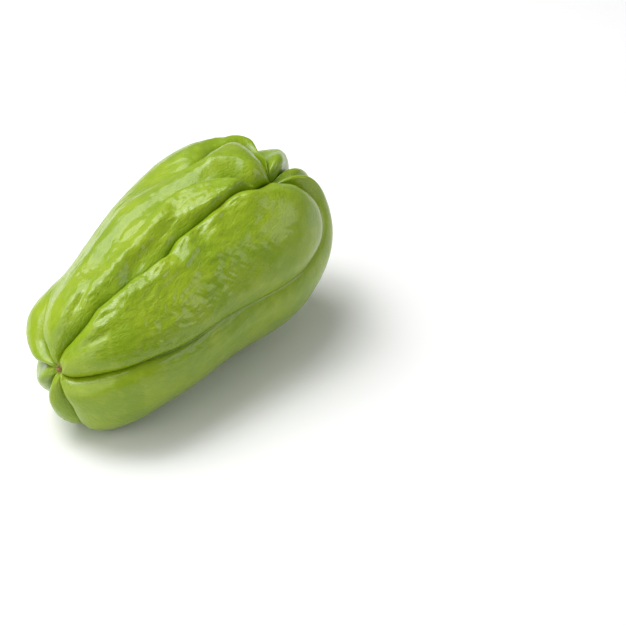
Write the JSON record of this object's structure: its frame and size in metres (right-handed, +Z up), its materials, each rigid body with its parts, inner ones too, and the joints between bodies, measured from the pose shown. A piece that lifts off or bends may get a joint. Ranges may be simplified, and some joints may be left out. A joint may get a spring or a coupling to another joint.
{
  "type": "chayote squash",
  "caption": "Whole pear-shaped chayote squash lying on its side, with deep furrows between its lobes, a puckered blossom end and a corky stem scar.",
  "frame": {"origin": "on the surface that the fruit rests on, under the centre of its bounding box", "axes": "+X along the fruit from the stem end to the wide blossom end, +Z up"},
  "size_m": [0.1498, 0.0838, 0.0793],
  "materials": {
    "skin": "waxy yellow-green plant skin, satin to glossy, with paler ridges and darker furrows",
    "cork": "dry red-brown corky stem scar with a paler tan rim, matte"
  },
  "bodies": {
    "root": {"fruit": "skin", "stem_scar": "cork"}
  },
  "joints": []
}
